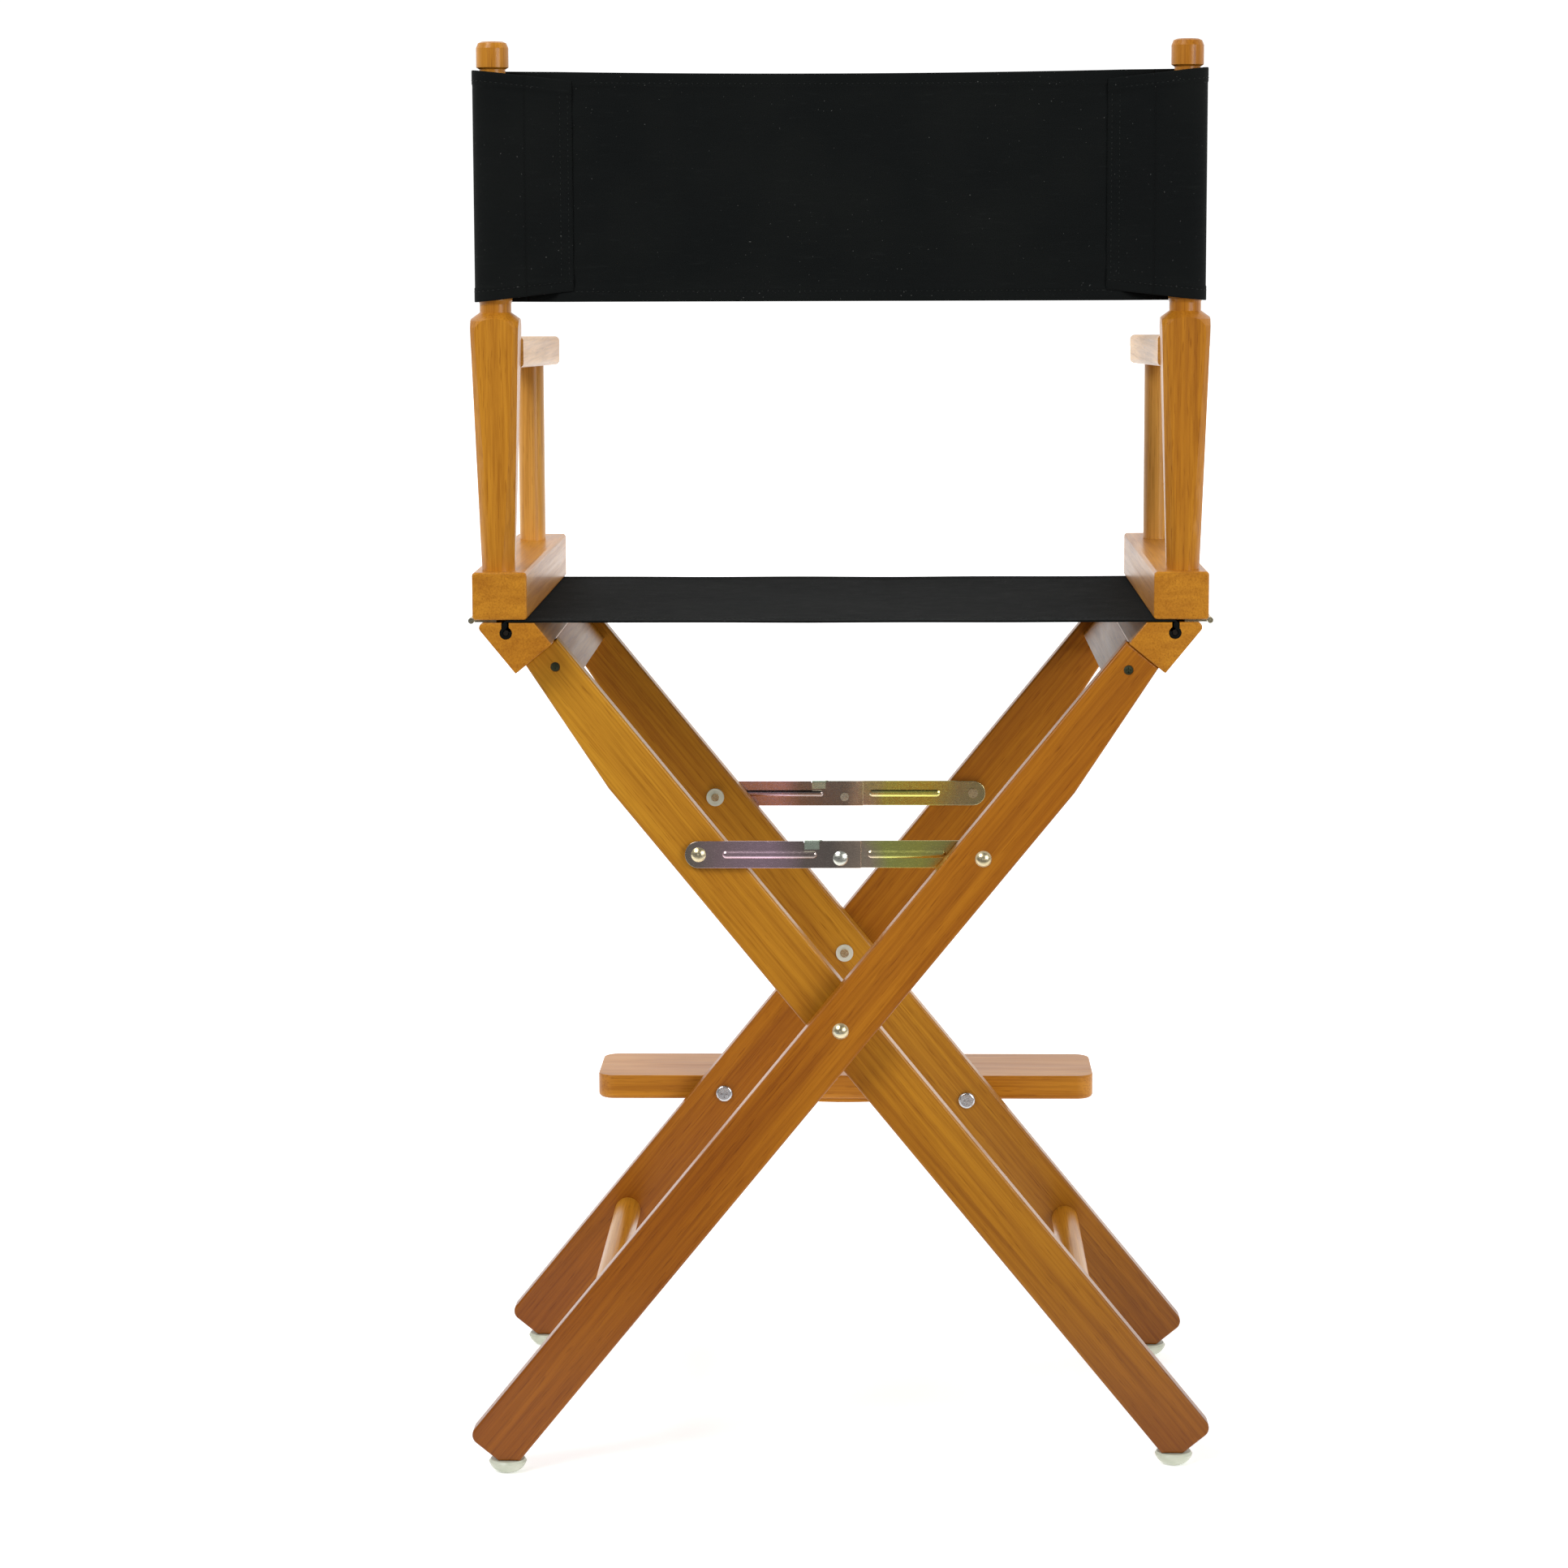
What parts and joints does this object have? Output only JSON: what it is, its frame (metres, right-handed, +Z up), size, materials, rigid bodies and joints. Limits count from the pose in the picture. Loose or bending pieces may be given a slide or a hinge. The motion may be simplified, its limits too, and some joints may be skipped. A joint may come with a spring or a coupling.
{
  "type": "folding director chair",
  "caption": "Folding wooden director chair with crossed legs, canvas seat and back, arm boards on posts, steel braces and a hinged footrest board.",
  "frame": {"origin": "centre of the base, on the floor", "axes": "+Z up, the chair faces -Y, +X to the sitter's left"},
  "size_m": [0.6034, 0.512, 1.1555],
  "materials": {
    "leg_wood": "clear lacquer, satin to gloss",
    "rail_wood": "clear lacquer, satin to gloss",
    "post_wood": "clear lacquer, satin to gloss",
    "dowel_wood": "clear lacquer, satin to gloss",
    "footrest_wood": "clear lacquer, satin to gloss",
    "rod_wood": "clear lacquer, satin to gloss",
    "black_canvas": "matte woven cotton canvas",
    "chromate_steel": "yellow chromate with faint rainbow tints",
    "brass_rivet": "polished",
    "yellow_zinc": "yellow zinc plate",
    "hinge_steel": "zinc plate",
    "bright_zinc": "bright zinc plate",
    "glide_plastic": "smooth moulded off-white"
  },
  "bodies": {
    "frame_a": {"leg_a_rear": "leg_wood", "leg_a_front": "leg_wood", "seat_rail_a": "rail_wood", "stretcher_a": "dowel_wood", "glides_a": "glide_plastic", "leg_screws_a": "yellow_zinc", "brace_bolts_a": "brass_rivet", "brace_spacers_a": "yellow_zinc", "hinge_lower_a": "hinge_steel", "hinge_screws_lower_a": "hinge_steel", "hinge_pin_a": "hinge_steel", "seat_rod_a": "rod_wood", "pivot_bolts": "brass_rivet", "pivot_spacers": "yellow_zinc", "pivot_washers": "yellow_zinc", "footrest_bolt": "bright_zinc", "footrest_spacer": "bright_zinc", "seat_canvas": "black_canvas"},
    "arm_right": {"hinge_upper_a": "hinge_steel", "hinge_screws_upper_a": "hinge_steel", "arm_rail_right": "rail_wood", "back_post_right": "post_wood", "front_post_right": "dowel_wood", "arm_board_right": "rail_wood", "arm_dowel_right": "dowel_wood", "back_canvas": "black_canvas"},
    "brace_rear_a": {"brace_link_rear_a": "chromate_steel", "brace_rivet_rear_a": "brass_rivet"},
    "brace_front_a": {"brace_link_front_a": "chromate_steel", "brace_rivet_front_a": "brass_rivet"},
    "frame_b": {"leg_b_rear": "leg_wood", "leg_b_front": "leg_wood", "seat_rail_b": "rail_wood", "stretcher_b": "dowel_wood", "glides_b": "glide_plastic", "leg_screws_b": "yellow_zinc", "brace_bolts_b": "brass_rivet", "brace_spacers_b": "yellow_zinc", "hinge_lower_b": "hinge_steel", "hinge_screws_lower_b": "hinge_steel", "hinge_pin_b": "hinge_steel", "seat_rod_b": "rod_wood", "brace_nuts": "yellow_zinc", "peg_bolt": "bright_zinc", "peg_sleeve": "bright_zinc"},
    "arm_left": {"hinge_upper_b": "hinge_steel", "hinge_screws_upper_b": "hinge_steel", "arm_rail_left": "rail_wood", "back_post_left": "post_wood", "front_post_left": "dowel_wood", "arm_board_left": "rail_wood", "arm_dowel_left": "dowel_wood"},
    "brace_rear_b": {"brace_link_rear_b": "chromate_steel", "brace_rivet_rear_b": "brass_rivet"},
    "brace_front_b": {"brace_link_front_b": "chromate_steel", "brace_rivet_front_b": "brass_rivet"},
    "footrest": {"footrest_board": "footrest_wood"}
  },
  "joints": [
    {"name": "fold", "type": "hinge", "parent": "frame_a", "child": "frame_b", "pos_m": [0, 0.0495, 0.3695], "axis": [0, -1, 0], "range_deg": [0, 68], "deforming": ["seat_canvas", "back_canvas"]},
    {"name": "arm_right_tilt", "type": "hinge", "parent": "frame_a", "child": "arm_right", "pos_m": [-0.2936, 0.0495, 0.7009], "axis": [0, -1, 0], "range_deg": [0, 34]},
    {"name": "arm_left_tilt", "type": "hinge", "parent": "frame_b", "child": "arm_left", "pos_m": [0.2936, 0.0495, 0.7009], "axis": [0, -1, 0], "range_deg": [-34, 0]},
    {"name": "footrest_turn", "type": "hinge", "parent": "frame_a", "child": "footrest", "pos_m": [0.10902, 0.0495, 0.23582], "axis": [0, -1, 0], "range_deg": [-50.8, 0]},
    {"name": "brace_rear_a_turn", "type": "hinge", "parent": "frame_a", "child": "brace_rear_a", "pos_m": [-0.1144, 0.0495, 0.50977], "axis": [0, -1, 0], "range_deg": [0, 117.3]},
    {"name": "brace_rear_b_turn", "type": "hinge", "parent": "frame_b", "child": "brace_rear_b", "pos_m": [0.1144, 0.0495, 0.50977], "axis": [0, -1, 0], "range_deg": [-117.3, 0]},
    {"name": "brace_front_a_turn", "type": "hinge", "parent": "frame_a", "child": "brace_front_a", "pos_m": [-0.1144, 0.0495, 0.50977], "axis": [0, -1, 0], "range_deg": [0, 117.3]},
    {"name": "brace_front_b_turn", "type": "hinge", "parent": "frame_b", "child": "brace_front_b", "pos_m": [0.1144, 0.0495, 0.50977], "axis": [0, -1, 0], "range_deg": [-117.3, 0]}
  ],
  "couplings": [
    {"joint": "arm_right_tilt", "follows": "fold", "ratio": 0.5},
    {"joint": "arm_left_tilt", "follows": "fold", "ratio": -0.5},
    {"joint": "footrest_turn", "follows": "fold", "ratio": -0.747},
    {"joint": "brace_rear_a_turn", "follows": "fold", "ratio": 1.7244},
    {"joint": "brace_rear_b_turn", "follows": "fold", "ratio": -1.7244},
    {"joint": "brace_front_a_turn", "follows": "fold", "ratio": 1.7244},
    {"joint": "brace_front_b_turn", "follows": "fold", "ratio": -1.7244}
  ]
}
